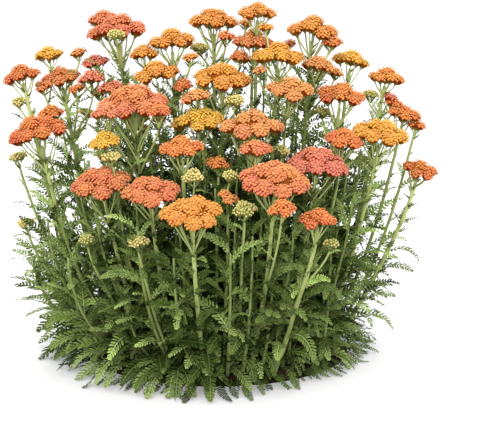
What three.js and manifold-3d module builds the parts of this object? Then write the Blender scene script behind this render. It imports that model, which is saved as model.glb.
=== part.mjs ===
// A clump of yarrow (Achillea millefolium) in full flower, standing on its own crown of rhizomes.
// Millimetres, +Z up, origin at the middle of the crown's flat underside, -Y is the clump's front.
import * as THREE from "three";
import { mergeVertices } from "three/addons/utils/BufferGeometryUtils.js";
import Module from "manifold-3d";

const wasm = await Module();
wasm.setup();

// Clearance between a piece and the one that carries it.
const GAP = 0.3;

// The crown: a low, knobbly mat of woody rhizomes that every shoot springs from, wider than it is deep.
const CROWN_HALF_WIDTH = 214;
const CROWN_HALF_DEPTH = 172;
const CROWN_HEIGHT = 14;
const CROWN_EDGE_HEIGHT = 6;
const CROWN_PLATEAU = 0.965; // share of the outline that is flat on top
const CROWN_KNOBS = 19;
const CROWN_KNOB_DEPTH = 0.015;

// Flowering stems: tapered stalks that lean out of the crown and straighten as they climb.
const STEM_FOOT_RADIUS = 4.2;
const STEM_TIP_RADIUS = 2.4;
const STEM_SIDES = 6;
const STEM_STEPS = 8;
const FOOT_SHARE = 0.6; // how far out a stem's foot is, as a share of how far out its flowers are
const START_LEAN = 0.0019; // slope of a stem at its foot, per millimetre its flowers are out
const END_LEAN = 0.0007; // slope of a stem at its tip, per millimetre its flowers are out
const START_PULL = 0.38; // the stretch of a stem that keeps its first and last direction
const END_PULL = 0.3;

// Flower heads (corymbs): a shallow dome of florets on a cone of short branches.
const HEAD_SIDES = 12;
const HEAD_NECK_RADIUS = 2.4;
const RIM_RISE = 0.32; // height of the rim's widest ring over the stem's tip, as a share of the width
// The outline from the neck to the top of the dome: radius and height as shares of the head's width.
const HEAD_OUTLINE = [
  [0.4, 0.24],
  [0.5, RIM_RISE],
  [0.45, 0.39],
  [0.28, 0.455],
];
const HEAD_TOP = 0.485;

// Every flowering stem, by its flower head: where the middle of the rim is, the head's width and its tone.
const FLOWERS = [
  [-31, -250, 298, 93, "orange"],
  [88, -203, 335, 107, "coral"],
  [-170, -130, 315, 98, "coral"],
  [-95, -190, 315, 88, "coral"],
  [149, -229, 282, 57, "vermilion"],
  [153, -110, 340, 95, "rose"],
  [256, -43, 373, 92, "amber"],
  [322, 10, 303, 62, "vermilion"],
  [-277, -50, 379, 97, "vermilion"],
  [54, -96, 395, 99, "salmon"],
  [-28, -40, 393, 85, "amber"],
  [-50, -139, 367, 72, "vermilion"],
  [-129, -64, 425, 113, "coral"],
  [8, 0, 454, 97, "orange"],
  [-314, 43, 451, 62, "vermilion"],
  [-260, 105, 438, 69, "coral"],
  [-167, 117, 518, 98, "coral"],
  [-74, 64, 504, 76, "orange"],
  [-8, 110, 530, 84, "orange"],
  [153, 64, 523, 83, "orange"],
  [96, 0, 488, 82, "amber"],
  [196, 11, 423, 83, "vermilion"],
  [274, 85, 441, 63, "orange"],
  [60, 235, 330, 95, "coral"],
  [-157, 215, 381, 80, "coral"],
  [212, 150, 327, 72, "rose"],
  [-200, 190, 316, 58, "amber"],
];

// Leafy shoots with no flowers, round the crown's edge. Each has one ring of leaves that lie on the
// ground at their tips and one ring that stays up.
const SHOOTS = 5;
const SHOOT_OUT = 0.88; // how far out a shoot stands, as a share of the crown's outline
const SHOOT_RADIUS = 6;
const SHOOT_HEIGHT = 9;
const FIRST_SHOOT_DEG = -106;
const LOW_LEAF = { count: 5, reach: 96, arch: 38, tip: 3, fan: 116, width: 22 };
const HIGH_LEAF = { count: 4, reach: 92, arch: 86, tip: 62, fan: 84, width: 20 };
const REACH_SWING = 0.1; // how much the leaves of a ring differ in reach

// Leaves along a flowering stem: how far up the stem each one springs from, and its shape.
const STEM_LEAVES = [
  { at: 0.2, reach: 96, arch: 46, tip: 20, width: 18 },
  { at: 0.36, reach: 84, arch: 46, tip: 30, width: 16 },
  { at: 0.52, reach: 68, arch: 42, tip: 34, width: 14 },
  { at: 0.68, reach: 50, arch: 32, tip: 30, width: 11 },
];
const SPIRAL_DEG = 137.5; // from one leaf of a stem to the next
// A leaf turns by one of these from its own direction, the first that keeps it clear of the other pieces.
const TURNS_DEG = [0, 12, -12, 24, -24, 48, -48, 72, -72, 96, -96, 120, -120, 144, -144];
const LEAF_CLEARANCE = 1.6; // added to a leaf's width and thickness when it looks for room

const LEAF_THICKNESS = 1.8;
const LEAF_ROOT_WIDTH = 0.3; // share of the full width at the leaf's root and tip
const SHOOT_LEAF_STEPS = 7;
const STEM_LEAF_STEPS = 4;

const COLOURS = {
  crown: 0x5b4530,
  stem: 0x8f9f5a,
  leaf: 0x55693a,
  orange: 0xf08a35,
  amber: 0xf2a53c,
  salmon: 0xee9060,
  coral: 0xea7350,
  rose: 0xe2706a,
  vermilion: 0xe86434,
};

function numbered(index) {
  return String(index + 1).padStart(2, "0");
}

function material(name) {
  const roughness = name === "crown" ? 0.9 : 0.6;
  return new THREE.MeshStandardMaterial({ color: COLOURS[name], roughness, metalness: 0 });
}

function piece(name, geometry, tone) {
  const mesh = new THREE.Mesh(geometry, material(tone));
  mesh.name = name;
  return mesh;
}

// Moves every vertex of a geometry to where place(vertex) says.
function reshape(geometry, place) {
  const position = geometry.getAttribute("position");
  const vertex = new THREE.Vector3();
  for (let i = 0; i < position.count; i++) {
    place(vertex.fromBufferAttribute(position, i));
    position.setXYZ(i, vertex.x, vertex.y, vertex.z);
  }
  return geometry;
}

function solid(geometry) {
  const bare = geometry.clone().deleteAttribute("normal").deleteAttribute("uv");
  const merged = mergeVertices(bare, 1e-3);
  const vertProperties = merged.getAttribute("position").array;
  return new wasm.Manifold(
    new wasm.Mesh({ numProp: 3, vertProperties, triVerts: new Uint32Array(merged.index.array) }),
  );
}

function geometryOf(joined) {
  const { vertProperties, triVerts } = joined.getMesh();
  return new THREE.BufferGeometry()
    .setAttribute("position", new THREE.BufferAttribute(vertProperties, 3))
    .setIndex(new THREE.BufferAttribute(triVerts, 1));
}

// A lathed outline, [radius, height] from bottom to top, standing on Z.
function turned(outline, sides) {
  const points = outline.map(([radius, height]) => new THREE.Vector2(radius, height));
  return new THREE.LatheGeometry(points, sides).rotateX(Math.PI / 2);
}

function crown() {
  const outline = [
    [0, 0],
    [CROWN_PLATEAU, 0],
    [1, CROWN_EDGE_HEIGHT],
    [CROWN_PLATEAU, CROWN_HEIGHT],
    [0, CROWN_HEIGHT],
  ];
  const knobbly = reshape(turned(outline, CROWN_KNOBS * 3), (v) => {
    const swell = 1 + CROWN_KNOB_DEPTH * Math.sin(CROWN_KNOBS * Math.atan2(v.y, v.x));
    v.x *= swell * CROWN_HALF_WIDTH;
    v.y *= swell * CROWN_HALF_DEPTH;
  });
  return piece("crown", knobbly, "crown");
}

// The direction of a flower head's own axis, which is also that of its stem's tip.
function headAxis(x, y) {
  return new THREE.Vector3(x * END_LEAN, y * END_LEAN, 1).normalize();
}

function stemCurve([x, y, z, width]) {
  const foot = new THREE.Vector3(x * FOOT_SHARE, y * FOOT_SHARE, CROWN_HEIGHT + GAP);
  const axis = headAxis(x, y);
  const tip = new THREE.Vector3(x, y, z).addScaledVector(axis, -RIM_RISE * width);
  const length = foot.distanceTo(tip);
  const start = new THREE.Vector3(x * START_LEAN, y * START_LEAN, 1).normalize();
  return new THREE.CubicBezierCurve3(
    foot,
    foot.clone().addScaledVector(start, START_PULL * length),
    tip.clone().addScaledVector(axis, -END_PULL * length),
    tip,
  );
}

// A tapered stalk along a curve. Its first ring lies level, flat on what it stands on.
function stalk(curve) {
  const up = new THREE.Vector3(0, 0, 1);
  const upright = new THREE.CylinderGeometry(
    STEM_TIP_RADIUS, STEM_FOOT_RADIUS, 1, STEM_SIDES, STEM_STEPS,
  );
  return reshape(upright, (v) => {
    const along = v.y + 0.5;
    const direction = along < 0.5 / STEM_STEPS ? up : curve.getTangent(along);
    const turn = new THREE.Quaternion().setFromUnitVectors(up, direction);
    v.set(v.x, -v.z, 0).applyQuaternion(turn).add(curve.getPoint(along));
  });
}

function flowerHead([x, y, z, width, tone], number) {
  const outline = [
    [0, GAP],
    [HEAD_NECK_RADIUS, GAP],
    ...HEAD_OUTLINE.map(([radius, height]) => [radius * width, height * width]),
    [0, HEAD_TOP * width],
  ];
  const axis = headAxis(x, y);
  const mesh = piece(`flower_head_${number}`, turned(outline, HEAD_SIDES), tone);
  mesh.quaternion.setFromUnitVectors(new THREE.Vector3(0, 0, 1), axis);
  mesh.position.set(x, y, z).addScaledVector(axis, -RIM_RISE * width);
  return mesh;
}

// One leaf with its root at the origin, reaching along +X and arching over to its tip's height.
function leaf({ reach, arch, tip, width }, steps, extra = 0) {
  const spine = new THREE.CubicBezierCurve3(
    new THREE.Vector3(0, 0, 0),
    new THREE.Vector3(reach * 0.3, 0, arch),
    new THREE.Vector3(reach * 0.75, 0, arch * 1.15),
    new THREE.Vector3(reach, 0, tip),
  );
  const slab = new THREE.BoxGeometry(1, width + extra, LEAF_THICKNESS + extra, steps, 1, 1);
  return reshape(slab, (v) => {
    const along = v.x + 0.5;
    const at = spine.getPoint(along);
    const slope = spine.getTangent(along);
    const share = LEAF_ROOT_WIDTH + (1 - LEAF_ROOT_WIDTH) * Math.sin(Math.PI * along);
    v.set(at.x - slope.z * v.z, v.y * share, at.z + slope.x * v.z);
  });
}

// A mesh as a solid where it stands.
function standing(mesh) {
  mesh.updateMatrix();
  return solid(mesh.geometry.clone().applyMatrix4(mesh.matrix));
}

function boxesMeet(a, b) {
  const [one, other] = [a.boundingBox(), b.boundingBox()];
  return [0, 1, 2].every((i) => one.min[i] < other.max[i] && other.min[i] < one.max[i]);
}

// Adds to a plant's body each of its leaves that finds room among the neighbours, and that closes off no
// pocket against the plant's other leaves.
function withLeaves({ body, leaves }, neighbours) {
  for (const { kind, steps, root, heading } of leaves) {
    for (const turn of TURNS_DEG) {
      const place = (extra) =>
        solid(
          leaf(kind, steps, extra)
            .rotateZ(THREE.MathUtils.degToRad(heading + turn))
            .translate(root.x, root.y, root.z),
        );
      const envelope = place(LEAF_CLEARANCE);
      const blocked = neighbours.some(
        (n) => boxesMeet(envelope, n) && !envelope.intersect(n).isEmpty(),
      );
      if (blocked) continue;
      const joined = body.add(place(0));
      if (joined.decompose().length > 1) continue;
      body = joined;
      break;
    }
  }
  return body;
}

function leafyShoot(index) {
  const heading = FIRST_SHOOT_DEG + (360 / SHOOTS) * index;
  const azimuth = THREE.MathUtils.degToRad(heading);
  const x = SHOOT_OUT * CROWN_HALF_WIDTH * Math.cos(azimuth);
  const y = SHOOT_OUT * CROWN_HALF_DEPTH * Math.sin(azimuth);
  const root = new THREE.Vector3(x, y, CROWN_HEIGHT + SHOOT_HEIGHT / 2);
  const base = new THREE.CylinderGeometry(
    SHOOT_RADIUS * 0.6, SHOOT_RADIUS, SHOOT_HEIGHT, STEM_SIDES,
  );
  base.rotateX(Math.PI / 2).translate(x, y, CROWN_HEIGHT + GAP + SHOOT_HEIGHT / 2);
  const leaves = [LOW_LEAF, HIGH_LEAF].flatMap((ring) =>
    Array.from({ length: ring.count }, (_, i) => {
      const reach = ring.reach * (1 + REACH_SWING * Math.sin(2.4 * index + 1.7 * i));
      return {
        kind: { ...ring, reach, tip: ring.tip - root.z },
        steps: SHOOT_LEAF_STEPS,
        root,
        heading: heading + (i / (ring.count - 1) - 0.5) * ring.fan,
      };
    }),
  );
  return { name: `leafy_shoot_${index + 1}`, tone: "leaf", body: solid(base), leaves };
}

function floweringStem(flower, index) {
  const curve = stemCurve(flower);
  const leaves = STEM_LEAVES.map((kind, i) => {
    const root = curve.getPoint(kind.at);
    const outward = THREE.MathUtils.radToDeg(Math.atan2(root.y, root.x));
    return { kind, steps: STEM_LEAF_STEPS, root, heading: outward + i * SPIRAL_DEG };
  });
  return { name: `stem_${numbered(index)}`, tone: "stem", body: solid(stalk(curve)), leaves };
}

const bare = [crown(), ...FLOWERS.map((flower, i) => flowerHead(flower, numbered(i)))];
const plants = [
  ...Array.from({ length: SHOOTS }, (_, i) => leafyShoot(i)),
  ...FLOWERS.map(floweringStem),
];
const bareSolids = bare.map(standing);
for (const plant of plants) {
  const others = plants.filter((other) => other !== plant).map((other) => other.body);
  plant.body = withLeaves(plant, [...bareSolids, ...others]);
}

const yarrow = new THREE.Group();
yarrow.add(...bare);
for (const { name, body, tone } of plants) yarrow.add(piece(name, geometryOf(body), tone));

export default yarrow;
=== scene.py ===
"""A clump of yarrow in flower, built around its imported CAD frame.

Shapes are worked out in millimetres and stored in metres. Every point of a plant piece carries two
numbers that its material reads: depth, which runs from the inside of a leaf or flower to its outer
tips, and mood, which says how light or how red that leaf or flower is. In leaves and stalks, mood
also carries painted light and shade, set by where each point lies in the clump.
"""

from math import atan2, cos, hypot, pi, radians, sin, sqrt

import bpy
import numpy as np
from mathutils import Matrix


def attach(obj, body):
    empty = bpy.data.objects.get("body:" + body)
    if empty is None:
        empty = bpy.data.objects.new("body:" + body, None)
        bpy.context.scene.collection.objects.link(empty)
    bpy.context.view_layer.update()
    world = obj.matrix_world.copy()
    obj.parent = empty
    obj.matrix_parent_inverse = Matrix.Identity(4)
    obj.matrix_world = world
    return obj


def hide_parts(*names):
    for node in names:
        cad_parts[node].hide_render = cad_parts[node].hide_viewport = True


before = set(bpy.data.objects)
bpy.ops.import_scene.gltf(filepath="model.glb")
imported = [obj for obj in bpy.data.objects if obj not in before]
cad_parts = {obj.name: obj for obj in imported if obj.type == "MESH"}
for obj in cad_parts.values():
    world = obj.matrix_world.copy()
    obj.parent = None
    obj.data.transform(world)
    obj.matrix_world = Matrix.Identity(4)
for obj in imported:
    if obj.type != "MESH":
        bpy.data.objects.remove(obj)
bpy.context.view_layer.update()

SEED = 7
MM = 0.001
TURN = 2 * pi
GOLDEN_ANGLE = radians(137.5)

# The photograph's camera. Lengths are in millimetres here and wherever no unit is named.
IMAGE_WIDTH, IMAGE_HEIGHT = 497, 434
CAMERA_TARGET = np.array([49.0, 0.0, 223.0])
CAMERA_DISTANCE = 2100.0
CAMERA_ELEVATION = radians(14)
LENS, SENSOR = 95.0, 36.0
RIGHT, UP = np.array([1.0, 0, 0]), np.array([0, 0, 1.0])
UPWARD = np.array([0, sin(CAMERA_ELEVATION), cos(CAMERA_ELEVATION)])
FORWARD = np.array([0, cos(CAMERA_ELEVATION), -sin(CAMERA_ELEVATION)])
EYE = CAMERA_TARGET - CAMERA_DISTANCE * FORWARD

# The plant's own measures, as in the CAD model, and the half thickness of its drawn, ridged stalks.
CROWN_HALF, CROWN_TOP = (214.0, 172.0), 14.0
FOOT_SHARE, START_LEAN, END_LEAN = 0.6, 0.0019, 0.0007
START_PULL, END_PULL, RIM_RISE = 0.38, 0.3, 0.32
STALK_FOOT_RADIUS, STALK_TIP_RADIUS = 4.4, 3.0
SHOOTS, SHOOT_OUT, FIRST_SHOOT_DEG = 5, 0.88, -106

# The half width and depth of the leafy clump, by which its leaves and stalks are painted lighter
# towards its outside and darker, as painted shade, deep inside.
CLUMP_HALF = 300.0, 262.0

# The tone of each stem's flowers.
TONES = (
    "orange coral coral coral vermilion rose amber vermilion vermilion salmon amber vermilion coral "
    "orange vermilion coral coral orange orange orange amber vermilion orange coral coral rose amber"
).split()

# How much redder, or yellower, the flowers of some stems are than their tone. For stem 11 the
# yellower, lighter colour is partly painted light for a head that stands in shade.
REDDER_WITH_PAINTED_LIGHT = {7: 0.3, 11: -0.55, 13: 0.35, 14: -0.15, 15: 0.3, 17: 0.25, 20: 0.25, 21: 0.3, 23: 0.2}

# Second heads and buds: the pixel (x, y) of the photograph where each shows, how far back it is and how
# wide, its tone, and the flowering stem that carries it, or 0 where it has a thin stem of its own.
SECOND_HEADS = [
    (291, 86, -50, 74, "salmon", 21), (156, 69, 20, 68, "orange", 18), (254, 37, 55, 66, "coral", 0),
    (352, 57, 90, 60, "amber", 0), (405, 112, 60, 58, "vermilion", 0), (258, 9, 40, 56, "orange", 0),
    (319, 62, 20, 50, "salmon", 20), (91, 75, 40, 44, "rose", 16), (95, 60, 100, 46, "rose", 16),
    (256, 147, -150, 48, "coral", 10), (144, 50, 60, 48, "orange", 17), (48, 52, 125, 48, "amber", 15),
    (196, 94, -45, 44, "salmon", 14), (283, 205, -262, 38, "vermilion", 2), (111, 154, -130, 28, "bud", 0),
    (245, 208, -215, 34, "bud", 0), (111, 85, 30, 42, "rose", 0), (218, 161, -112, 33, "vermilion", 0),
    (194, 174, -178, 31, "bud", 12), (228, 195, -190, 30, "coral", 0), (183, 83, 10, 32, "vermilion", 18),
    (115, 33, 50, 30, "bud", 17), (78, 50, 100, 29, "salmon", 16), (288, 42, 90, 29, "vermilion", 20),
    (240, 54, 40, 32, "vermilion", 19), (226, 33, 60, 30, "vermilion", 19), (200, 45, 100, 27, "bud", 19),
    (283, 149, -70, 24, "bud", 10), (235, 99, -50, 27, "bud", 14), (190, 56, 30, 26, "orange", 18),
    (370, 93, 90, 26, "bud", 23), (331, 243, -195, 20, "bud", 5), (323, 110, 30, 22, "bud", 22),
    (267, 25, 20, 24, "orange", 21), (18, 101, 40, 20, "bud", 15), (230, 173, -155, 17, "bud", 12),
    (260, 69, -30, 20, "salmon", 21), (246, 21, 80, 20, "orange", 19), (391, 94, 80, 19, "rose", 23),
    (42, 84, 50, 28, "coral", 16), (75, 86, 40, 28, "vermilion", 16), (105, 109, -112, 43, "rose", 13),
    (158, 110, -112, 38, "vermilion", 13), (137, 239, -222, 31, "bud", 0), (86, 237, -150, 17, "bud", 0),
    (25, 222, -60, 27, "bud", 0), (17, 157, 0, 29, "bud", 0), (105, 137, -118, 45, "amber", 0),
    (345, 136, -75, 60, "vermilion", 0), (103, 16, 150, 50, "coral", 17), (417, 123, 50, 32, "vermilion", 0),
    (332, 39, 50, 34, "vermilion", 20), (336, 70, 60, 24, "orange", 20),
]
# The stems that carry the small guessed heads at the back, once for each.
BACK_HOSTS = (24, 25, 26, 27, 16, 17, 19, 20, 23, 26, 24, 27, 25, 15, 24, 26, 25, 24, 26, 25)


def seeded(*key):
    return np.random.default_rng([SEED, *key])


def unit(vectors):
    vectors = np.asarray(vectors, float)
    return vectors / np.linalg.norm(vectors, axis=-1, keepdims=True)


def level_way(heading):
    """Level unit vectors at headings in radians."""
    return np.stack([np.cos(heading), np.sin(heading), np.zeros_like(heading, dtype=float)], -1)


def way_out(points, half=CLUMP_HALF):
    """How far points lie out from the clump's axis: 1 on the ellipse with these half measures."""
    return np.hypot(points[..., 0] / half[0], points[..., 1] / half[1])


# ---- shapes


class Shape:
    """Points in millimetres, triangles, and each point's depth and mood."""

    def __init__(self, points, triangles, depth, mood):
        self.points = np.asarray(points, float).reshape(-1, 3)
        self.triangles = np.asarray(triangles, int).reshape(-1, 3)
        self.depth = np.broadcast_to(np.asarray(depth, float).ravel(), len(self.points))
        self.mood = np.broadcast_to(np.asarray(mood, float).ravel(), len(self.points))


def joined(shapes):
    starts = np.cumsum([0] + [len(s.points) for s in shapes])
    parts = [(s.points, s.triangles + n, s.depth, s.mood) for s, n in zip(shapes, starts)]
    return Shape(*(np.concatenate(each) for each in zip(*parts)))


def bezier(points, steps):
    """Points along the cubic Bezier curve with these four points."""
    t = np.linspace(0, 1, steps)
    weights = np.stack([(1 - t) ** 3, 3 * (1 - t) ** 2 * t, 3 * (1 - t) * t**2, t**3], -1)
    return weights @ np.asarray(points, float)


def walls(rings, sides):
    """Triangles between rings of points, facing outwards where the rings go up anticlockwise."""
    i, j = np.meshgrid(np.arange(rings - 1), np.arange(sides), indexing="ij")
    a, b = i * sides + j, i * sides + (j + 1) % sides
    corners = [[a, b, b + sides], [a, b + sides, a + sides]]
    return np.stack([np.stack(three, -1) for three in corners], 2).reshape(-1, 3)


TINY = 1e-9  # keeps a path's direction from being nothing
GROOVE_SHADE = 0.4  # how much less depth a stalk's grooves have than its ridges


def tubes(paths, radii, sides, depth, mood, ridge=0.0):
    """Closed tubes along K paths of M points. Odd sides stand in from even ones by the ridge."""
    count, steps, _ = paths.shape
    size = (count, steps, sides)
    radii = np.broadcast_to(np.asarray(radii, float), size[:2])
    along = unit(np.gradient(paths, axis=1) + TINY)
    whole = unit(paths[:, -1] - paths[:, 0] + TINY)
    helper = np.where(np.abs(whole[:, :1]) < 0.7, [[1.0, 0, 0]], [[0, 1.0, 0]])[:, None]
    across = unit(np.cross(along, helper))
    other = np.cross(along, across)
    angle = np.arange(sides) * TURN / sides
    odd = np.arange(sides) % 2
    ring = np.cos(angle)[:, None] * across[:, :, None] + np.sin(angle)[:, None] * other[:, :, None]
    points = paths[:, :, None] + ring * (1 - ridge * odd)[:, None] * radii[:, :, None, None]
    depth = np.broadcast_to(depth, size) - (GROOVE_SHADE * odd if ridge else 0.0)
    fan = np.arange(1, sides - 1)
    end = (steps - 1) * sides
    one = np.concatenate([
        walls(steps, sides),
        np.stack([np.full_like(fan, end), end + fan, end + fan + 1], -1),
        np.stack([np.zeros_like(fan), fan + 1, fan], -1),
    ])
    triangles = one + steps * sides * np.arange(count)[:, None, None]
    return Shape(points, triangles, depth, np.broadcast_to(mood, size))


def tapered(path, foot_radius, tip_radius, sides, depth, mood, ridge=0.0):
    """One tube along a path, with a steady change of radius."""
    radii = np.linspace(foot_radius, tip_radius, len(path))
    return tubes(path[None], radii[None], sides, depth, mood, ridge)


def frames_on(directions, helper=(0.0, 1, 0)):
    """Frames whose Z is a given direction and whose X is square to a helper."""
    z = unit(directions)
    x = unit(np.cross(helper, z))
    return np.stack([x, np.cross(z, x), z], -2)


def instances(template, places, frames, sizes, mood):
    """A copy of the template at each place. A frame's rows are the copy's own X, Y and Z."""
    points = places[:, None] + sizes[:, None, None] * (template.points @ frames)
    count, per = len(places), len(template.points)
    triangles = template.triangles + per * np.arange(count)[:, None, None]
    return Shape(points, triangles, np.tile(template.depth, count), np.repeat(mood, per))


# ---- materials


def linear(*rgb):
    """sRGB from 0 to 255 as a linear colour."""
    c = np.array(rgb, float) / 255
    return (*np.where(c <= 0.04045, c / 12.92, ((c + 0.055) / 1.055) ** 2.4), 1.0)


def new_object(name, data):
    made = bpy.data.objects.new(name, data)
    bpy.context.scene.collection.objects.link(made)
    return made


def node_tree(owner):
    owner.use_nodes = True
    return owner.node_tree.nodes, owner.node_tree.links


def set_inputs(node, values):
    for key, value in values.items():
        node.inputs[key].default_value = value


def ramp(nodes, stops):
    """A ramp through linear colours."""
    node = nodes.new("ShaderNodeValToRGB")
    elements = node.color_ramp.elements
    while len(elements) < len(stops):
        elements.new(0.5)
    for element, (position, colour) in zip(elements, stops):
        element.position = position
        element.color = colour
    return node


# Where the Mix node keeps its factor, its two colours and its result.
MIX_INPUTS, MIX_RESULT = (0, 6, 7), 2


def mixed(nodes, links, kind, *values):
    """Mixes two colours by a factor. Each of the three is a number or another node's output."""
    node = nodes.new("ShaderNodeMix")
    node.data_type = "RGBA"
    node.blend_type = kind
    for at, value in zip(MIX_INPUTS, values):
        if isinstance(value, bpy.types.NodeSocket):
            links.new(value, node.inputs[at])
        else:
            node.inputs[at].default_value = value
    return node.outputs[MIX_RESULT]


def noise(nodes, links, place, scale, detail):
    node = nodes.new("ShaderNodeTexNoise")
    set_inputs(node, {"Scale": scale, "Detail": detail})
    links.new(place.outputs["Object"], node.inputs["Vector"])
    return node.outputs["Fac"]


MATERIALS = {}


def add_material(slot, low, high, speckle, scale, roughness=0.6, specular=0.3, bump=0.0):
    """Two colour ramps over depth, one for mood 0 and one for mood 1, with fine mottling."""
    material = MATERIALS[slot] = bpy.data.materials.new(f"yarrow_{slot}")
    nodes, links = node_tree(material)
    shader = nodes["Principled BSDF"]
    set_inputs(shader, {"Roughness": roughness, "Specular IOR Level": specular})
    value = {}
    for key in ("depth", "mood"):
        attribute = nodes.new("ShaderNodeAttribute")
        attribute.attribute_name = key
        value[key] = attribute.outputs["Fac"]
    colours = []
    for stops in (low, high):
        node = ramp(nodes, [(at, linear(*colour)) for at, colour in stops])
        links.new(value["depth"], node.inputs["Fac"])
        colours.append(node.outputs["Color"])
    place = nodes.new("ShaderNodeTexCoord")
    mottle = nodes.new("ShaderNodeMapRange")
    set_inputs(mottle, {
        "From Min": 0.3, "From Max": 0.7, "To Min": 1 - speckle, "To Max": 1 + 0.4 * speckle,
    })
    links.new(noise(nodes, links, place, scale, 3.0), mottle.inputs["Value"])
    colour = mixed(nodes, links, "MIX", value["mood"], *colours)
    colour = mixed(nodes, links, "MULTIPLY", 1.0, colour, mottle.outputs["Result"])
    links.new(colour, shader.inputs["Base Color"])
    if bump:
        relief = nodes.new("ShaderNodeBump")
        set_inputs(relief, {"Strength": bump, "Distance": 0.0006})
        links.new(noise(nodes, links, place, 6 * scale, 4.0), relief.inputs["Height"])
        links.new(relief.outputs["Normal"], shader.inputs["Normal"])


# Per tone, for its yellower and then its redder flowers: the painted shade between flowers, the rays'
# outer edges, deepened with painted shade where they curl down, and their body. All sRGB.
PETALS = {
    "orange": ((138, 61, 4), (208, 122, 36), (229, 168, 78), (130, 49, 4), (198, 98, 38), (221, 142, 77)),
    "amber": ((148, 84, 4), (216, 152, 34), (232, 194, 84), (138, 64, 4), (206, 120, 32), (227, 156, 74)),
    "salmon": ((135, 59, 7), (208, 120, 52), (228, 166, 98), (127, 46, 6), (196, 94, 54), (220, 142, 100)),
    "coral": ((133, 51, 6), (206, 110, 48), (226, 154, 90), (122, 38, 6), (192, 78, 52), (219, 122, 97)),
    "rose": ((127, 46, 7), (202, 94, 60), (230, 146, 110), (117, 33, 8), (190, 70, 62), (220, 122, 112)),
    "vermilion": ((127, 46, 6), (206, 104, 40), (225, 147, 80), (117, 33, 6), (188, 68, 40), (216, 112, 77)),
}
# The pale colour each flower's disc is mixed towards: partly its own pale yellow, partly a painted highlight
# on its top.
DISC_PALE_AND_HIGHLIGHT = (255, 226, 150)
INVOLUCRE, INVOLUCRE_EDGE = (124, 126, 56), (130, 92, 30)


def petal_stops(shade, edge, body):
    """A flower's colours by depth: green cup, painted shade between flowers, pale disc with a painted
    highlight, ray body, and ray edge in painted shade.
    """
    disc = [0.5 * b + 0.5 * d for b, d in zip(body, DISC_PALE_AND_HIGHLIGHT)]
    return [
        (0.0, INVOLUCRE), (0.1, INVOLUCRE_EDGE), (0.16, shade), (0.21, shade),
        (0.25, disc), (0.3, disc), (0.36, body), (0.66, body), (1.0, edge),
    ]


for tone, colours in PETALS.items():
    add_material(
        f"petal_{tone}", petal_stops(*colours[:3]), petal_stops(*colours[3:]),
        speckle=0.14, scale=240.0, roughness=0.65, specular=0.05,
    )
add_material(
    "bud",
    [(0.0, (96, 112, 52)), (0.5, (150, 156, 80)), (1.0, (206, 204, 126))],
    [(0.0, (128, 128, 62)), (0.5, (204, 180, 100)), (1.0, (246, 226, 156))],
    speckle=0.2, scale=300.0,
)
add_material(
    "leaf",
    [(0.0, (86, 108, 36)), (0.12, (24, 45, 0)), (0.5, (19, 39, 0)), (1.0, (36, 60, 8))],
    [(0.0, (236, 242, 206)), (0.12, (117, 149, 42)), (0.45, (160, 189, 88)), (1.0, (208, 222, 156))],
    specular=0.08, speckle=0.22, scale=60.0,
)
add_material(
    "stem",
    [(0.0, (72, 86, 34)), (1.0, (114, 130, 64))],
    [(0.0, (142, 158, 84)), (1.0, (198, 208, 134))],
    roughness=0.55, specular=0.2, speckle=0.16, scale=70.0, bump=0.5,
)
add_material(
    "crown",
    [(0.0, (18, 14, 9)), (1.0, (44, 35, 23))],
    [(0.0, (30, 24, 16)), (1.0, (68, 56, 37))],
    roughness=0.9, specular=0.15, speckle=0.4, scale=50.0, bump=1.0,
)


UV_MARGIN, UV_SPAN, UV_JITTER = 0.02, 0.96, 0.006


def add_piece(name, shapes, slot, replaces=(), smooth=False, uv=None):
    """A mesh object on the root body. Without a uv of its own, its map is depth by mood."""
    shape = joined(shapes)
    mesh = bpy.data.meshes.new(name)
    mesh.from_pydata((shape.points * MM).tolist(), [], shape.triangles.tolist())
    for key, values in (("depth", shape.depth), ("mood", shape.mood)):
        layer = mesh.attributes.new(key, "FLOAT", "POINT")
        layer.data.foreach_set("value", np.clip(values, 0, 1).astype(np.float32))
    vertex = np.zeros(len(mesh.loops), np.int32)
    mesh.loops.foreach_get("vertex_index", vertex)
    if uv is None:
        spread = seeded(len(shape.points)).uniform(-UV_JITTER, UV_JITTER, (len(shape.points), 2))
        uv = np.clip(np.stack([shape.depth, shape.mood], 1), 0, 1) * UV_SPAN + UV_MARGIN + spread
    layer = mesh.uv_layers.new(name="OFBake")
    layer.data.foreach_set("uv", uv[vertex].astype(np.float32).ravel())
    if smooth:
        mesh.shade_smooth()
    mesh.materials.append(MATERIALS[slot])
    piece = new_object(name, mesh)
    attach(piece, "root")
    if replaces:
        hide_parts(*replaces)


# ---- camera


def on_ray(x, y, back):
    """The point that shows at a pixel of the photograph and lies this far back from the clump's middle."""
    focal = IMAGE_WIDTH * LENS / SENSOR
    ray = FORWARD + RIGHT * (x - IMAGE_WIDTH / 2) / focal + UPWARD * (IMAGE_HEIGHT / 2 - y) / focal
    return EYE + ray * (back - EYE[1]) / ray[1]


def add_camera():
    data = bpy.data.cameras.new("camera")
    data.lens = LENS
    data.sensor_width = SENSOR
    data.clip_end = 50
    camera = new_object("camera", data)
    camera.location = EYE * MM
    camera.rotation_euler = (pi / 2 - CAMERA_ELEVATION, 0, 0)
    bpy.context.scene.camera = camera


# ---- leaves


# Half the outline of a leaflet, from its root to just short of its tip: shares of its length and width.
BLUNT = [(0.0, 0.75), (0.42, 1.0), (0.82, 0.8)]
PLAIN = [(0.0, 0.65), (0.7, 1.0)]


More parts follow.
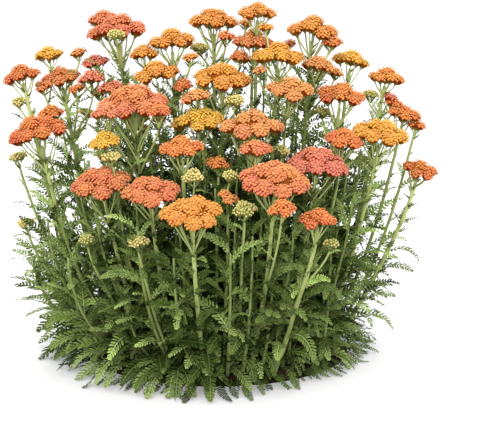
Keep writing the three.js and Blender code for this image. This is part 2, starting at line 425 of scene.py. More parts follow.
class LeafTemplate:
    """A feathery leaf on a straight midrib: for each point, the station of the midrib that it hangs
    on and its offsets across, along and over it, as shares of the leaf's length."""

    FIRST, LAST = 0.1, 0.97  # where the lowest and the highest leaflets spring
    RIB, RIB_TAPER, RIB_RISE = 0.0075, 0.005, 0.004
    LONGEST = 0.142
    TIP_LONG, TIP_HALF = 0.05, 0.018

    def __init__(self, pairs, outline, seed, fill):
        rng = seeded(900, seed)
        stations = pairs + 1
        rest = 1 - (1 - np.linspace(0, 1, stations)) ** 1.15
        self.along = np.concatenate([[0.0], self.FIRST + (self.LAST - self.FIRST) * rest])
        gaps = np.gradient(self.along[1:])
        self.station, self.offset, self.triangles, self.depth = [], [], [], []
        self.strip([
            [self.point(i, side * half, 0, self.RIB_RISE, 0.0) for side in (-1, 1)]
            for i, half in enumerate(self.RIB - self.RIB_TAPER * self.along)
        ])
        for i in range(1, stations + 1):
            s = self.along[i]
            for side in (-1, 1):
                long = self.LONGEST * sin(pi * (0.14 + 0.78 * s)) ** 0.8
                reach = long * rng.uniform(0.9, 1.08)
                angle = radians(62 - 22 * s + rng.uniform(-5, 5))
                lift, twist = radians(rng.uniform(2, 24)), radians(rng.uniform(-20, 20))
                share = (fill + 0.06 * s**2) * rng.uniform(0.92, 1.1)
                half = share * gaps[i - 1] * sin(angle)
                self.leaflet(i, side, reach, angle, lift, twist, half, outline)
        self.leaflet(stations, 1, self.TIP_LONG, 0.0, 0.0, 0.0, self.TIP_HALF, outline)
        for name in ("station", "offset", "triangles", "depth"):
            setattr(self, name, np.array(getattr(self, name)))

    def point(self, at, across, forward, over, shade):
        self.station.append(at)
        self.offset.append((across, forward, over))
        self.depth.append(shade)
        return len(self.station) - 1

    def strip(self, rows):
        for (a, b), (c, d) in zip(rows, rows[1:]):
            self.triangles += [(a, b, d), (a, d, c)]

    def leaflet(self, station, side, reach, angle, lift, twist, half, outline):
        way = np.array([side * sin(angle) * cos(lift), cos(angle), sin(angle) * sin(lift)])
        flat = np.array([side * cos(angle), -sin(angle), 0.0])
        flat = flat * cos(twist) + np.cross(way, flat) * sin(twist)
        bend = np.array([0, 0.1 * reach, -0.14 * reach])
        rows = []
        for q, w in outline:
            middle = way * reach * q + bend * q * q
            rows.append([
                self.point(station, *(middle + edge * flat * half * w), 0.2 + 0.6 * q) for edge in (-1, 1)
            ])
        self.strip(rows)
        tip = self.point(station, *(way * reach + bend), 1.0)
        self.triangles.append((*rows[-1], tip))


# For leaves up to each length, how the hidden ones, the exposed ones and the outermost are made:
# pairs of leaflets, their outline, a seed, and the share of their spacing that they fill.
LEAF_SIZES = [
    (48, [(6, PLAIN, 3, 0.48), (8, PLAIN, 1, 0.46), (8, BLUNT, 2, 0.38)]),
    (74, [(9, PLAIN, 6, 0.46), (11, PLAIN, 4, 0.4), (11, BLUNT, 5, 0.36)]),
    (999, [(11, PLAIN, 9, 0.44), (14, PLAIN, 7, 0.4), (14, BLUNT, 8, 0.37)]),
]
TEMPLATES = [(longest, [LeafTemplate(*row) for row in rows]) for longest, rows in LEAF_SIZES]
# From where leaves are seen and not hidden: this far out or this high. And which are outermost.
SEEN_OUT, SEEN_HIGH, RIM_OUT, RIM_LOW = 0.78, 270, 0.84, 240
# Leaves level off over the last millimetres above the floor.
FLOOR_CLEAR, FLOOR_SOFT = 1.5, 6.0
FLOOR_BRINK = FLOOR_CLEAR + FLOOR_SOFT
# Painted light and shade on the leaves: the share of a leaf's mood by how far out and how high each
# of its points is, least deep inside the clump and less at its fringe and near the ground, as painted
# shade, and more high up, as painted light. High up, where the clump is open, each point counts as
# lying at least as far out as the last row says.
PAINTED_LIGHT_BY_REACH = ((0.5, 0.9, 1.0, 1.14), (0.1, 1.0, 0.9, 0.6))
PAINTED_LIGHT_BY_HEIGHT = ((6.0, 55.0, 230.0, 330.0), (0.75, 1.0, 1.0, 1.5))
OPEN_BY_HEIGHT = ((200.0, 330.0), (0.0, 0.72))


def bent(template, root, azimuth, length, rise, droop, curl, roll, fold, mood):
    """Leaves along curved midribs. Angles in radians; rise and droop are the slopes at root and tip."""
    s = template.along
    columns = (v[:, None] for v in (azimuth, length, rise, droop, curl, roll))
    azimuth, length, rise, droop, curl, roll = columns
    slope = (rise + (droop - rise) * s**1.15)[..., None]
    heading = azimuth + curl * s**2
    tangent = level_way(heading) * np.cos(slope) + UP * np.sin(slope)
    steps = 0.5 * (tangent[:, 1:] + tangent[:, :-1]) * (np.diff(s) * length)[..., None]
    spine = np.concatenate([np.zeros_like(steps[:, :1]), np.cumsum(steps, 1)], 1) + root[:, None]
    side = np.stack([-np.sin(heading), np.cos(heading), np.zeros_like(heading)], -1)
    over = np.cross(tangent, side)
    roll = roll[..., None]
    side, over = side * np.cos(roll) + over * np.sin(roll), over * np.cos(roll) - side * np.sin(roll)
    at = template.station
    across, forward, lift = template.offset.T
    lift = lift * fold[:, None]
    points = spine[:, at] + length[..., None] * (
        side[:, at] * across[:, None] + tangent[:, at] * forward[:, None] + over[:, at] * lift[..., None]
    )
    height = points[..., 2]
    sunk = FLOOR_CLEAR + FLOOR_SOFT * np.exp((np.minimum(height, FLOOR_BRINK) - FLOOR_BRINK) / FLOOR_SOFT)
    height = np.where(height < FLOOR_BRINK, sunk, height)
    points[..., 2] = height
    count = len(points)
    triangles = template.triangles + len(at) * np.arange(count)[:, None, None]
    # Painted light and shade: each point's mood is darkened deep inside the clump and near the ground, and
    # lightened high up.
    out = np.maximum(way_out(points), np.interp(height, *OPEN_BY_HEIGHT))
    lit = np.interp(out, *PAINTED_LIGHT_BY_REACH) * np.interp(height, *PAINTED_LIGHT_BY_HEIGHT)
    return Shape(points, triangles, np.tile(template.depth, count), mood[:, None] * lit)


def exposure(root):
    """How well the leaves that spring from here can be seen: 0 hidden inside the clump, 1 or 2."""
    height = root[:, 2]
    out = way_out(root, CROWN_HALF) / (1 + height / 1400)  # the clump widens upwards
    shown = (out > SEEN_OUT) | (height > SEEN_HIGH)
    return shown.astype(int) + ((out > RIM_OUT) & (height < RIM_LOW))


def leaves(rng, root, azimuth, length, rise, droop, mood):
    """Leaves of any lengths, each with its own bend and twist. Slopes are in degrees."""
    count = len(root)
    length = length * rng.uniform(0.88, 1.12, count)
    values = {
        "azimuth": azimuth + rng.normal(0, 0.12, count),
        "length": length,
        "rise": np.radians(rise + rng.normal(0, 7, count)),
        "droop": np.radians(droop + rng.normal(0, 19, count)),
        "curl": rng.normal(0, 0.34, count),
        "roll": rng.normal(0, 0.6, count),
        "fold": rng.uniform(0.6, 1.5, count),
        "mood": np.clip(mood + rng.normal(0, 0.28, count), 0.08, 1),
    }
    which = exposure(root)
    shapes, shortest = [], 0
    for longest, templates in TEMPLATES:
        for k, template in enumerate(templates):
            pick = (length > shortest) & (length <= longest) & (which == k)
            if pick.any():
                shapes.append(bent(template, root[pick], **{n: v[pick] for n, v in values.items()}))
        shortest = longest
    return joined(shapes)


# ---- stems


SWAY = 1.8
STEM_STEPS, STALK_SIDES, STALK_RIDGE = 29, 10, 0.16


def stem_curve(top, width):
    """The four Bezier points of a flowering stem that carries a head at top."""
    x, y, _ = top
    foot = np.array([x * FOOT_SHARE, y * FOOT_SHARE, CROWN_TOP])
    axis = unit([x * END_LEAN, y * END_LEAN, 1])
    tip = top - axis * RIM_RISE * width
    length = np.linalg.norm(tip - foot)
    start = unit([x * START_LEAN, y * START_LEAN, 1])
    return np.array([foot, foot + start * START_PULL * length, tip - axis * END_PULL * length, tip])


def swayed(path, rng):
    """A path with a slight wander that leaves its two ends where they are."""
    t = np.linspace(0, 1, len(path))
    sway = sum(
        np.outer(np.sin(k * pi * t + p), rng.normal(0, SWAY / k, 3))
        for k, p in ((2, rng.uniform(0, TURN)), (3, rng.uniform(0, TURN)))
    )
    return path + sway * (np.sin(pi * t) ** 0.8)[:, None] * [1, 1, 0.3]


def stalk(path, rng):
    """The ridged stalk of a flowering stem, and the map that goes round and along it."""
    t = np.linspace(0, 1, len(path))
    # Painted light and shade: the stalk is lighter up towards its head and out from the clump's middle; the
    # wave along it is random tone.
    mood = 0.2 + 0.4 * t + 0.4 * way_out(path) + 0.1 * np.sin(9 * t + rng.uniform(0, TURN))
    mood = np.clip(mood, 0, 1)[None, :, None]
    shape = tapered(path, STALK_FOOT_RADIUS, STALK_TIP_RADIUS, STALK_SIDES, 0.9, mood, STALK_RIDGE)
    along, round_it = np.meshgrid(t, 0.9 * np.arange(STALK_SIDES) / STALK_SIDES, indexing="ij")
    uv = UV_MARGIN + np.stack([round_it, UV_SPAN * along], -1)
    return shape, uv.reshape(-1, 2)


def stem_leaves(rng, path, outward, count, longest, shortest, first=0.07, last=0.87):
    """Leaves in a spiral along a stem, long at the bottom and short at the top."""
    share = np.clip(np.linspace(first, last, count) + rng.uniform(-0.015, 0.015, count), first, last)
    at = share * (len(path) - 1)
    low = np.minimum(np.floor(at).astype(int), len(path) - 2)
    root = path[low] + (path[low + 1] - path[low]) * (at - low)[:, None]
    level = (share - first) / (last - first)
    spin = rng.uniform(0, TURN) + np.arange(count) * GOLDEN_ANGLE
    spin = spin + 0.35 * np.sin(outward - spin)  # leaves are held out to where the light is
    spread = way_out(root)
    length = (longest + (shortest - longest) * level**1.4) * np.interp(spread, [0.76, 1.05], [1, 0.7])
    rise = 50 + 12 * level
    droop = -38 + 56 * level
    height = root[:, 2] / 500
    # Painted light and shade: leaves that spring farther out and higher up are lighter, those deep inside
    # darker.
    mood = np.clip(0.24 + 0.22 * spread + 0.2 * np.minimum(height, 0.6), 0, 0.62)
    return leaves(rng, root, spin, length, rise, droop, mood)


# ---- flowers


def floret(cup=True):
    """A single yarrow flower, 1 across and facing +Z: five broad rays, a small disc and a green cup."""
    points, depth, triangles = [], [], []

    def point(radius, degrees, height, shade):
        a = radians(degrees)
        points.append((radius * cos(a), radius * sin(a), height))
        depth.append(shade)
        return len(points) - 1

    for k in range(5):
        middle = 72 * k
        tilt = 0.03 * sin(2.4 * k)
        root = point(0.08, middle, 0.02, 0.4)
        left, right = (point(0.44, middle + turn, tilt - 0.08, 0.85) for turn in (-31, 31))
        tip = point(0.52, middle, tilt - 0.2, 1.0)
        triangles += [(root, left, tip), (root, tip, right)]
    ring = [point(0.18, 90 * k + 36, 0.03, 0.27) for k in range(4)]
    top = point(0, 0, 0.13, 0.28)
    triangles += [(top, ring[k], ring[(k + 1) % 4]) for k in range(4)]
    if cup:
        brim = [point(0.22, 120 * k, -0.05, 0.08) for k in range(3)]
        foot = point(0, 0, -0.62, 0.0)
        triangles += [(foot, brim[(k + 1) % 3], brim[k]) for k in range(3)]
    return Shape(points, triangles, depth, 0.5)


def closed_bud():
    """An unopened flower, about 1 across and pointing +Z."""
    sides = 5
    points, depth = [(0, 0, -0.5), (0, 0, 0.42)], [0.0, 1.0]
    for radius, height, shade in ((0.4, -0.12, 0.35), (0.3, 0.26, 0.8)):
        for k in range(sides):
            a = TURN * k / sides
            points.append((radius * cos(a), radius * sin(a), height))
            depth.append(shade)
    triangles = [*(2 + walls(2, sides))]
    for k in range(sides):
        a, b = 2 + k, 2 + (k + 1) % sides
        triangles += [(0, b, a), (1, a + sides, b + sides)]
    return Shape(points, triangles, depth, 0.5)


FLORET, TOP_FLORET, CLOSED_BUD = floret(), floret(cup=False), closed_bud()
FLORET_SPACING, FLORET_SIZE = 4.95, 5.15
BUD_SPACING, BUD_SIZE = 4.6, 4.9


def lobes_of(rng, width):
    """The lobes of a flat head: each one's middle (x, y, top), width and share of the way out."""
    if width < 24:
        return [(0.0, 0.0, 0.12 * width, width, 0.0)]
    across = 12 + 0.16 * width
    ring = max(width / 2 - across * 0.48, 0.0)
    outer = max(int(round(TURN * ring / across)), 3)
    second = ring - 0.86 * across
    turn = rng.uniform(0, TURN)
    found = [(turn, ring, across, k, outer) for k in range(outer)]
    if second > 0.36 * across:
        inner = max(int(round(TURN * second / (across * 0.92))), 3)
        found += [(turn + 0.5, second, across * 1.06, k, inner) for k in range(inner)]
        if second > 0.55 * across:
            found.append((turn, 0.0, 0.95 * across, 0, 1))
    elif outer > 3:
        found.append((turn, 0.0, across * 1.3, 0, 1))
    lobes = []
    for start, out, size, k, count in found:
        angle = start + TURN * (k + rng.uniform(-0.13, 0.13)) / count
        out = out * rng.uniform(0.9, 1.05)
        share = out / (width / 2)
        top = width * (0.175 - 0.28 * share**1.7) + rng.uniform(-4, 3) * min(2 * share, 1)
        size = size * rng.uniform(0.86, 1.1)
        lobes.append((out * cos(angle), out * sin(angle), top, size, share))
    return lobes


DOME_RINGS, DOME_SIDES = 6, 10
# The body's depth by angle from its top: painted shade down its sides, a little lighter at its top as
# painted light, green beneath.
DOME_SHADE = ((0, 0.7, 1.2, 1.9, 2.1), (0.232, 0.225, 0.2, 0.2, 0.04))  # depth by angle from the top


def dome(centre, rows, radius, height, mood, under=1.6):
    """The closed body under a lobe's flowers: an ellipsoid, green below and coloured above with painted
    shade, a little lighter at its top.
    """
    polar = np.linspace(0, pi, DOME_RINGS)[:, None]
    turn = np.arange(DOME_SIDES) * TURN / DOME_SIDES
    tall = np.where(polar > 1.6, under, 1) * height * np.cos(polar) + 0 * turn
    flat = radius * np.sin(polar)
    grid = np.stack([flat * np.cos(turn), flat * np.sin(turn), tall], -1)
    depth = np.repeat(np.interp(polar, *DOME_SHADE), DOME_SIDES)
    triangles = walls(DOME_RINGS, DOME_SIDES)[:, ::-1]
    return Shape(grid.reshape(-1, 3) @ rows + centre, triangles, depth, mood)


LOBE_REACH = radians(96)  # flowers cover a lobe this far down from its top
RIM_ANGLE = 1.1  # from here down, a flower's green cup shows
FLOWERS_A_TWIG = 9
# How far the bodies lie under the flowers, and how deep into a neighbour flowers are still kept.
SUNK_ACROSS, SUNK_DOWN, OVERLAP = 2.2, 1.9, 0.94


def lobe_flowers(rng, domes, k, spacing):
    """Places and outward directions of a lobe's flowers, less those in its neighbours, and which of
    them are at its rim."""
    middle, rows, axes, _ = domes[k]
    cap = 1 - cos(LOBE_REACH)
    area = TURN * (0.62 * axes[0] ** 2 + 0.38 * axes[0] * axes[2]) * cap
    count = max(int(area / (0.88 * spacing**2)), 5)
    polar = np.arccos(1 - (np.arange(count) + 0.5) / count * cap) + rng.normal(0, 0.04, count)
    spin = GOLDEN_ANGLE * np.arange(count) + rng.uniform(0, TURN)
    ball = np.stack([np.sin(polar) * np.cos(spin), np.sin(polar) * np.sin(spin), np.cos(polar)], -1)
    normal = unit(ball / axes) @ rows
    place = middle + (ball * axes) @ rows + normal * rng.normal(0, 0.7, count)[:, None]
    keep = np.ones(count, bool)
    for j, (other, other_rows, other_axes, _) in enumerate(domes):
        if j != k:
            inside = np.linalg.norm(((place - other) @ other_rows.T) / other_axes, axis=1)
            keep &= inside > (OVERLAP if j > k else 1.0)
    return place[keep], normal[keep], polar[keep] > RIM_ANGLE


def lobe_branches(rng, base, lean, knots, drop, stem_path, stem_radius):
    """A branch from the stem to a lobe's foot, the twigs from there, and often a bract."""
    feet = np.broadcast_to(base, knots.shape)
    parts = [tubes(np.stack([feet, knots], 1), [[0.95, 0.7]], 3, 0.8, 0.8)]
    leave = stem_point(stem_path, drop)
    upward = unit(stem_point(stem_path, max(drop - 6, 0)) - stem_point(stem_path, drop + 6))
    pull = 0.3 * np.linalg.norm(base - leave)
    curve = bezier([leave, leave + upward * 0.7 * pull, base - lean * pull, base], 6)
    parts.append(tapered(curve, 0.5 * stem_radius, 0.36 * stem_radius, 5, 0.9, 0.85))
    if rng.random() < 0.8:
        parts.append(bract(rng, leave, atan2(*(base - leave)[1::-1])))
    return parts


def corymb(rng, centre, axis, width, stem_path, stem_radius, redness, buds=False):
    """A flat head of small flowers: returns the flowers, and the branches that carry them."""
    local = frames_on(axis)
    spacing, size = (BUD_SPACING, BUD_SIZE) if buds else (FLORET_SPACING, FLORET_SIZE)
    domes = []
    for lx, ly, top, across, share in lobes_of(rng, width):
        wide, high = 0.49 * across, (0.39 - 0.07 * share) * across
        lean = unit([lx / width, ly / width, 1.0])
        middle = np.array([lx, ly, top]) - lean * high
        domes.append((middle, frames_on(lean), np.array([wide, wide, high]), share))
    flowers, parts = [], []
    if len(domes) > 3:  # the dense mass of flower stalks that closes the gaps between the lobes
        heart = np.array([0, 0, -0.1 * width]) @ local + centre
        flowers.append(dome(heart, local, 0.28 * width, 0.15 * width, redness, under=0.3))
        # Painted shade: the heart is coloured dark, between the cup's brown edge and the shade between
        # flowers, so the gaps between the lobes show dark.
        flowers[0].depth = np.minimum(flowers[0].depth, 0.14)
    for k, (middle, rows, axes, share) in enumerate(domes):
        place, normal, rim = lobe_flowers(rng, domes, k, spacing)
        if len(place) < 3:
            continue
        facing = unit(normal * 0.62 + np.array([0, 0, 0.38])) @ local
        sizes = size * rng.uniform(0.86, 1.12, len(place))
        lobe_mood = redness + 0.4 * (share - 0.6) + rng.uniform(-0.28, 0.28)
        mood = np.clip(lobe_mood + rng.uniform(-0.3, 0.3, len(place)), 0, 1)
        world, turned = place @ local + centre, frames_on(facing, rng.normal(size=facing.shape))
        kinds = [(CLOSED_BUD, np.ones_like(rim))] if buds else [(FLORET, rim), (TOP_FLORET, ~rim)]
        for template, pick in kinds:
            if pick.any():
                flowers.append(instances(template, world[pick], turned[pick], sizes[pick], mood[pick]))
        flowers.append(dome(
            middle @ local + centre, rows @ local, axes[0] - SUNK_ACROSS, axes[2] - SUNK_DOWN,
            np.clip(lobe_mood, 0, 1),
        ))
        lean = rows[2]
        base = middle - lean * (axes[0] * 0.95 + 2)
        twigs = max(len(place) // FLOWERS_A_TWIG, 3)
        seeds = place[rng.choice(len(place), twigs, replace=False)]
        knots = (base + 0.62 * (seeds - base)) @ local + centre
        drop = width * rng.uniform(0.08 + 0.22 * share, 0.16 + 0.62 * share)
        parts += lobe_branches(
            rng, base @ local + centre, lean @ local, knots, drop, stem_path, stem_radius
        )
    return flowers, parts


def bract(rng, root, heading):
    """A narrow little leaf where a branch leaves the stem."""
    length = rng.uniform(13, 25)
    t = np.linspace(0, 1, 4)[:, None]
    path = root + length * (level_way(heading) * t * 0.75 + UP * (0.75 * t - 0.15 * t**2))
    return tubes(path[None], [[0.8, 1.7, 1.3, 0.2]], 3, 0.2, 0.1)


def stem_point(path, below_tip):
    """The point of a stem that lies this far down from its tip."""
    gaps = np.linalg.norm(np.diff(path, axis=0), axis=1)[::-1]
    walked = 0.0
    for k, gap in enumerate(gaps):
        if walked + gap >= below_tip:
            share = (below_tip - walked) / gap
            return path[-1 - k] + (path[-2 - k] - path[-1 - k]) * share
        walked += gap
    return path[0]


def head_of(node):
    """A CAD flower head's rim middle, axis and width, in millimetres."""
    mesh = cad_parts[node].data
    points = np.zeros(len(mesh.vertices) * 3)
    mesh.vertices.foreach_get("co", points)
    points = np.unique(np.round(points.reshape(-1, 3) / MM, 3), axis=0)
    middle = points.mean(0)
    axis = np.linalg.svd(points - middle)[2][2]
    axis = axis * np.sign(axis[2])
    from_middle = points - middle
    out = np.linalg.norm(from_middle - np.outer(from_middle @ axis, axis), axis=1)
    return points[out > 0.985 * out.max()].mean(0), axis, 2 * out.max()


# ---- the plant


CROWDED_HEIGHT = 390  # taller stems stand close together, and bear more leaves
BRANCH_RADIUS, THICK_TIP_RADIUS = 1.9, 2.3


def add_flowering_stems():
    """Every stem of the CAD model with its leaves, and its head of flowers. Returns the stems."""
    stems = []
    for index, tone in enumerate(TONES):
        rng = seeded(1, index)
        stem, head = f"stem_{index + 1:02d}", f"flower_head_{index + 1:02d}"
        centre, axis, width = head_of(head)
        path = swayed(bezier(stem_curve(centre, width), STEM_STEPS), rng)
        shape, uv = stalk(path, rng)
        add_piece(f"{stem}_stalk", [shape], "stem", [stem], smooth=True, uv=uv)
        outward = atan2(centre[1], centre[0])
        tall = centre[2]
        count, longest, shortest = int(round(14 + tall / 23)), 104 - 0.02 * tall, 32 + 0.01 * tall
        foliage = [stem_leaves(rng, path, outward, count, longest, shortest)]
        if tall > CROWDED_HEIGHT:  # more and smaller leaves high up, a little darker
            upper = joined([
                stem_leaves(rng, path, outward, 17, 52, 32, first=0.5, last=0.86),
                stem_leaves(seeded(9, index), path, outward, 12, 56, 42, first=0.54, last=0.82),
            ])
            upper.mood = 0.85 * upper.mood
            foliage.append(upper)
        add_piece(f"{stem}_leaves", foliage, "leaf")
        redness = rng.uniform(0.3, 0.7) + REDDER_WITH_PAINTED_LIGHT.get(index + 1, 0)
        width_drawn = 1.05 * width + 2
        flowers, branches = corymb(rng, centre, axis, width_drawn, path, STALK_TIP_RADIUS, redness)
        add_piece(f"{head}_florets", flowers, f"petal_{tone}", [head])
        add_piece(f"{head}_branches", branches, "stem", smooth=True)
        stems.append((path, centre, width))
    return stems


def back_heads(stems):
    """Small guessed heads at the back, each in free space beside its stem's tip."""
    rng = seeded(2)
    heads = [(centre, width) for _, centre, width in stems]
    rows = []
    for host in BACK_HOSTS:
        path = stems[host - 1][0]
        for _ in range(40):
            leave = path[int(rng.uniform(0.7, 0.88) * len(path))]
            angle, away = rng.uniform(-0.4, pi + 0.4), rng.uniform(28, 46)
            place = leave + [away * cos(angle), away * sin(angle), rng.uniform(34, 60)]
            width = rng.uniform(20, 44)
            clear = all(
                np.linalg.norm((place - c) * [1, 1, 1.8]) > (w + width) / 2 + 4 for c, w in heads
            )
            if clear:
                tone = str(rng.choice(["bud", "coral", "orange", "vermilion", "salmon"]))
                rows.append((place, width, tone, host))
                heads.append((place, width))
                break
    return rows


def side_branch(rng, stem_path, place, width, axis):
    """A branch from a stem to a small head: its path, its tube and its few leaves."""
    gap = place - stem_path
    level = np.hypot(gap[:, 0], gap[:, 1])
    too_steep = gap[:, 2] < np.maximum(1.7 * level, 30)
    start = min((np.hypot(level, gap[:, 2]) + 400 * too_steep).argmin(), len(stem_path) - 2)
    leave, onward = stem_path[start], unit(stem_path[start + 1] - stem_path[start])
    tip = place - axis * RIM_RISE * width
    pull = np.linalg.norm(tip - leave) * 0.33
    away = unit(unit(tip - leave) + 0.35 * onward)
    path = bezier([leave, leave + away * pull, tip - axis * pull, tip], 12)
    heading = atan2(gap[start, 1], gap[start, 0]) + np.array([0.2, 2.2, -1.9, 0.6])
    foliage = leaves(rng, path[[0, 3, 6, 9]], heading, [46, 34, 28, 22], 52, 8, 0.6)
    return path, tapered(path, BRANCH_RADIUS, 1.5, 7, 0.9, 0.7), foliage


def add_second_heads(stems):
    """Smaller heads and buds, on side branches or on thin stems of their own."""
    flowers, wood, foliage = {}, [], []
    rows = [(on_ray(x, y, back), width, tone, host) for x, y, back, width, tone, host in SECOND_HEADS]
    for index, (place, width, tone, host) in enumerate(rows + back_heads(stems)):
        rng = seeded(3, index)
        buds = tone == "bud"
        axis = unit([place[0] * END_LEAN, place[1] * END_LEAN, 1])
        radius = BRANCH_RADIUS if host or width < 45 else THICK_TIP_RADIUS
        if host:
            path, tube, made = side_branch(rng, stems[host - 1][0], place, width, axis)
        else:
            path = swayed(bezier(stem_curve(place, width), 25), rng)
            tube = tapered(path, 3.1, radius, 8, 0.9, 0.6, ridge=0.12)
            outward = atan2(place[1], place[0])
            made = stem_leaves(rng, path, outward, int(round(9 + place[2] / 45)), 88, 30, last=0.9)
        wood.append(tube)
        foliage.append(made)
        redness = rng.uniform(0.45, 0.9) if buds else rng.uniform(0.25, 0.75)
        made, branches = corymb(rng, place, axis, 1.12 * width + 2, path, radius, redness, buds)
        flowers.setdefault(tone, []).extend(made)
        wood += branches
    for tone, made in flowers.items():
        slot = "bud" if tone == "bud" else f"petal_{tone}"
        add_piece(f"second_heads_{tone}", made, slot)
    add_piece("second_branches", wood, "stem", smooth=True)
    add_piece("second_leaves", foliage, "leaf")


SIDE_SHOOTS, BASAL_LEAVES, FRINGE_LEAVES, INNER_SHOOTS = 10, 27, 36, 68
SPRAWL = 38.0
LOW_LEAVES, HIGH_LEAVES = 10, 8  # of a leafy shoot


def sprawl(angle):
    """How much less far the clump reaches out here than in front: at its left, less than nothing."""
    level = cos(angle + 0.12)
    return SPRAWL * level * (1.5 if level > 0 else 1)


def corner_trim(angle):
    """How much shorter the lowest leaves are between the clump's sides and its front and back."""
    return (28 if cos(angle) > 0 else 6) * sin(2 * angle) ** 2


def crown_point(share, angle, height=CROWN_TOP):
    """The points at angles round the crown's middle, this share of the way out to its edge."""
    out = level_way(angle) * np.asarray(share)[..., None]
    return out * [*CROWN_HALF, 0] + height * UP


def quarter_angle(quarter, step, count):
    """The angle of a step of so many in a quarter of the clump. Quarter 0 is at its right side."""
    return (quarter + (step + 0.5) / count - 0.5) * TURN / 4


def add_leafy_shoots():
    """The CAD model's leafy shoots: a short base and a tuft of leaves that arch to the ground."""
    def both(low, high):
        return np.concatenate([np.full(LOW_LEAVES, low), np.full(HIGH_LEAVES, high)])

    for index in range(SHOOTS):
        rng = seeded(4, index)
        angle = radians(FIRST_SHOOT_DEG + 360 / SHOOTS * index)
        base = crown_point(SHOOT_OUT, angle)
        turn = angle + np.concatenate([
            np.linspace(-1.15, 1.15, LOW_LEAVES), np.linspace(-1.7, 1.7, HIGH_LEAVES),
        ])
        length = both(98.0, 92.0) - 0.4 * sprawl(angle) - 10 * sin(2 * angle) ** 2
        root = base + 3 * level_way(turn) + 5 * UP
        made = leaves(rng, root, turn, length, both(34.0, 62.0), both(-66.0, -26.0), 0.55)
        stump = tubes(base + np.outer([-1, 4, 9], UP)[None], [[6, 5.4, 3]], 8, 0.1, 0.3)
        node = f"leafy_shoot_{index + 1}"
        add_piece(f"{node}_leaves", [made, stump], "leaf", [node])


def headroom(place, stems):
    """How high a shoot may stand here without reaching up into a head of flowers."""
    near = [c[2] - 22 for _, c, width in stems if np.hypot(*(c - place)[:2]) < width / 2 + 36]
    return min([*near, 460])


def side_shoot(rng, angle):
    """A short non-flowering shoot that sprawls outwards: its stalk and its leaves."""
    foot = crown_point(rng.uniform(0.7, 0.93), angle)
    way = unit(crown_point(1, angle, 0))
    tall = rng.uniform(70, 250 - sprawl(angle))
    out = rng.uniform(28, 48) + 0.16 * tall - sprawl(angle)
    tip = foot + way * out + tall * UP
    path = bezier([foot, foot + way * 0.45 * out + 0.2 * tall * UP, tip - 0.45 * tall * UP, tip], 16)
    tube = tapered(path, 3.2, 1.8, 8, 0.8, 0.35, ridge=0.12)
    longest = 100 - 0.45 * sprawl(angle)
    return tube, stem_leaves(rng, path, angle, int(round(9 + tall / 36)), longest, 62, 0.1, 1.0)


def add_sides():
    """Sprawling shoots, basal leaves and a fringe of small leaves, a quarter of the clump at a time."""
    for quarter, name in enumerate(("right", "back", "left", "front")):
        rng = seeded(5, quarter)
        wood, foliage = [], []
        for k in range(SIDE_SHOOTS):
            angle = quarter_angle(quarter, k + rng.uniform(-0.2, 0.2), SIDE_SHOOTS)
            tube, made = side_shoot(rng, angle)
            wood.append(tube)
            foliage.append(made)
        for k in range(BASAL_LEAVES):
            angle = quarter_angle(quarter, k + rng.uniform(-0.4, 0.4), BASAL_LEAVES)
            root = crown_point(rng.uniform(0.84, 0.97), angle, CROWN_TOP + rng.uniform(0, 14))
            steep = rng.random()
            length = rng.uniform(86, 112) - 0.6 * max(sprawl(angle), 0) - corner_trim(angle)
            foliage.append(leaves(rng, root[None], angle, length, 18 + 50 * steep, -72 + 30 * steep, 0.55))
        angle = quarter_angle(quarter, np.arange(FRINGE_LEAVES), FRINGE_LEAVES)
        root = crown_point(0.96, angle, CROWN_TOP - 3)
        trim = [0.2 * max(sprawl(a), 0) + 0.5 * corner_trim(a) for a in angle]
        length = rng.uniform(52, 76, len(angle)) - trim
        rise = np.where(np.arange(FRINGE_LEAVES) % 2, 16, -14)
        foliage.append(leaves(rng, root, angle, length, rise, -40, 0.25))
        add_piece(f"side_shoots_{name}_stalks", wood, "stem", smooth=True)
        add_piece(f"side_shoots_{name}_leaves", foliage, "leaf")


def add_inner_shoots(stems):
    """Upright non-flowering shoots that fill the clump below its heads of flowers."""
    rng = seeded(6)
    wood, foliage = [], []
    for k in range(INNER_SHOOTS):
        angle = k * GOLDEN_ANGLE
        foot = crown_point(0.92 * sqrt((k + 0.5) / INNER_SHOOTS), angle)
        tip = foot + [foot[0] * (0.42 if foot[0] < 0 else 0.28), foot[1] * 0.36, 0]
        tip[2] = headroom(tip, stems) * rng.uniform(0.84, 1.0)
        path = swayed(bezier([foot, foot + 60 * UP, tip - 60 * UP, tip], 11), rng)
        wood.append(tapered(path, 3.0, 1.6, 6, 0.8, 0.3, ridge=0.12))
        foliage.append(stem_leaves(rng, path, angle, 15, 84, 42, 0.3, 0.97))
    add_piece("inner_shoots_stalks", wood, "stem", smooth=True)
    half = len(foliage) // 2
    add_piece("inner_shoots_leaves_middle", foliage[:half], "leaf")
    add_piece("inner_shoots_leaves_outer", foliage[half:], "leaf")


MAT_RINGS, MAT_SIDES, MAT_INSET = 12, 96, 0.985
RHIZOMES, RHIZOME_LIMIT = 150, 0.97


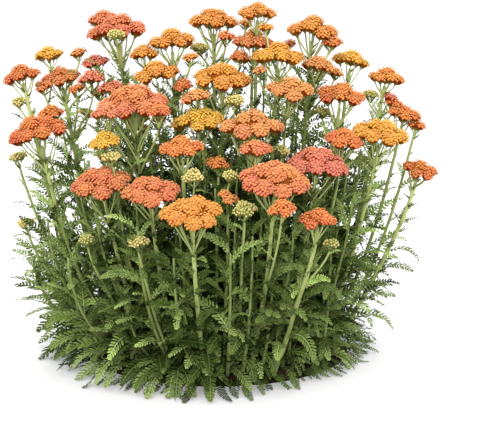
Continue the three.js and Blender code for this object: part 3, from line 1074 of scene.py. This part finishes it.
def crown_mat(rng):
    """A closed, lumpy cake that fills the crown."""
    share = np.concatenate([[0.0], np.linspace(0.16, 1.0, MAT_RINGS - 1)])
    turn = np.arange(MAT_SIDES) * TURN / MAT_SIDES
    share, turn = np.meshgrid(share, turn, indexing="ij")
    points = crown_point(share * MAT_INSET, turn, 0)
    x, y = points[..., 0], points[..., 1]
    bumps = sum(
        np.sin(x / a + p) * np.cos(y / b + q)
        for a, b, p, q in rng.uniform([5, 5, 0, 0], [17, 17, TURN, TURN], (7, 4))
    )
    edge = np.clip((1 - share) / 0.08, 0, 1) ** 0.6
    points[..., 2] = (CROWN_TOP - 1.2 + 0.55 * bumps) * edge
    points[-1, :, 2] = 0.0
    last = (MAT_RINGS - 1) * MAT_SIDES
    fan = np.arange(1, MAT_SIDES - 1)
    under = np.stack([np.full_like(fan, last), last + fan + 1, last + fan], -1)
    triangles = np.concatenate([walls(MAT_RINGS, MAT_SIDES)[:, ::-1], under])
    # Painted shade: the mat is darker in its dips and lighter on its humps.
    return Shape(points, triangles, 0.5 + 0.2 * bumps, 0.4)


def add_crown():
    """The mat of rhizomes: a lumpy base with short creeping pieces on it."""
    rng = seeded(8)
    mat = crown_mat(rng)
    angle = rng.uniform(0, TURN, RHIZOMES)
    out = np.sqrt(rng.uniform(0.02, 0.9, RHIZOMES))
    heading = angle + rng.normal(0, 0.9, RHIZOMES)
    length = rng.uniform(14, 34, RHIZOMES)
    t = np.linspace(-0.5, 0.5, 6)
    middle = crown_point(out, angle, CROWN_TOP - 2.2)
    paths = middle[:, None] + level_way(heading)[:, None] * (length[:, None] * t)[..., None]
    paths[..., 2] += 1.6 * np.cos(t * pi)
    far = way_out(paths, CROWN_HALF)
    paths[..., :2] *= np.minimum(1, RHIZOME_LIMIT / far)[..., None]
    radii = rng.uniform(1.8, 3.4, RHIZOMES)[:, None] * [0.6, 0.95, 1.0, 1.05, 0.9, 0.5]
    rhizomes = tubes(paths, radii, 7, 0.75, rng.uniform(0.2, 0.9, RHIZOMES)[:, None, None])
    add_piece("crown_rhizomes", [mat, rhizomes], "crown", ["crown"], smooth=True)


# ---- studio


# The soft light round the plant: its level by height, from straight below (0) to straight above (1).
SKY = ((0.0, 0.26), (0.47, 0.56), (0.495, 0.8), (1.0, 1.0))
SKY_STRENGTH = 1.38
FLOOR_HALF, FLOOR_GREY, FLOOR_GLOW = 60.0, 0.58, 0.245
# Each lamp's name, place, size (m) and power (W), and the place that they all shine at.
LAMPS = (
    ("key", (-1.4, -5.4, 4.0), 5.6, 372),
    ("fill", (2.2, -1.6, 1.8), 2.0, 30),
    ("back", (-0.6, 2.4, 2.8), 2.2, 80),
)
LAMP_AIM = np.array([0, 0, 0.25])


def add_sky():
    world = bpy.data.worlds.new("studio")
    bpy.context.scene.world = world
    nodes, links = node_tree(world)
    place = nodes.new("ShaderNodeTexCoord")
    split = nodes.new("ShaderNodeSeparateXYZ")
    height = nodes.new("ShaderNodeMapRange")
    set_inputs(height, {"From Min": -1.0})
    sky = ramp(nodes, [(at, (level, level, level, 1)) for at, level in SKY])
    background = nodes["Background"]
    set_inputs(background, {"Strength": SKY_STRENGTH})
    links.new(place.outputs["Generated"], split.inputs["Vector"])
    links.new(split.outputs["Z"], height.inputs["Value"])
    links.new(height.outputs["Result"], sky.inputs["Fac"])
    links.new(sky.outputs["Color"], background.inputs["Color"])


def add_floor():
    mesh = bpy.data.meshes.new("floor")
    corners = [(x * FLOOR_HALF, y * FLOOR_HALF, 0) for x, y in ((-1, -1), (1, -1), (1, 1), (-1, 1))]
    mesh.from_pydata(corners, [], [(0, 1, 2, 3)])
    material = bpy.data.materials.new("studio_floor")
    nodes, _ = node_tree(material)
    set_inputs(nodes["Principled BSDF"], {
        "Base Color": (FLOOR_GREY, FLOOR_GREY, FLOOR_GREY, 1),
        "Emission Color": (1, 1, 1, 1),
        "Emission Strength": FLOOR_GLOW,
        "Roughness": 1.0,
        "Specular IOR Level": 0.0,
    })
    mesh.materials.append(material)
    floor = new_object("floor", mesh)
    floor.visible_diffuse = False


def add_studio():
    bpy.context.scene.view_settings.view_transform = "Standard"
    add_sky()
    add_floor()
    for name, place, size, power in LAMPS:
        data = bpy.data.lights.new(name, "AREA")
        data.size = size
        data.energy = power
        light = new_object(name, data)
        light.location = place
        aim = LAMP_AIM - place
        level = hypot(aim[0], aim[1])
        light.rotation_euler = (atan2(level, -aim[2]), 0, atan2(aim[1], aim[0]) - pi / 2)


add_camera()
add_studio()
add_crown()
flowering = add_flowering_stems()
add_second_heads(flowering)
add_leafy_shoots()
add_sides()
add_inner_shoots(flowering)
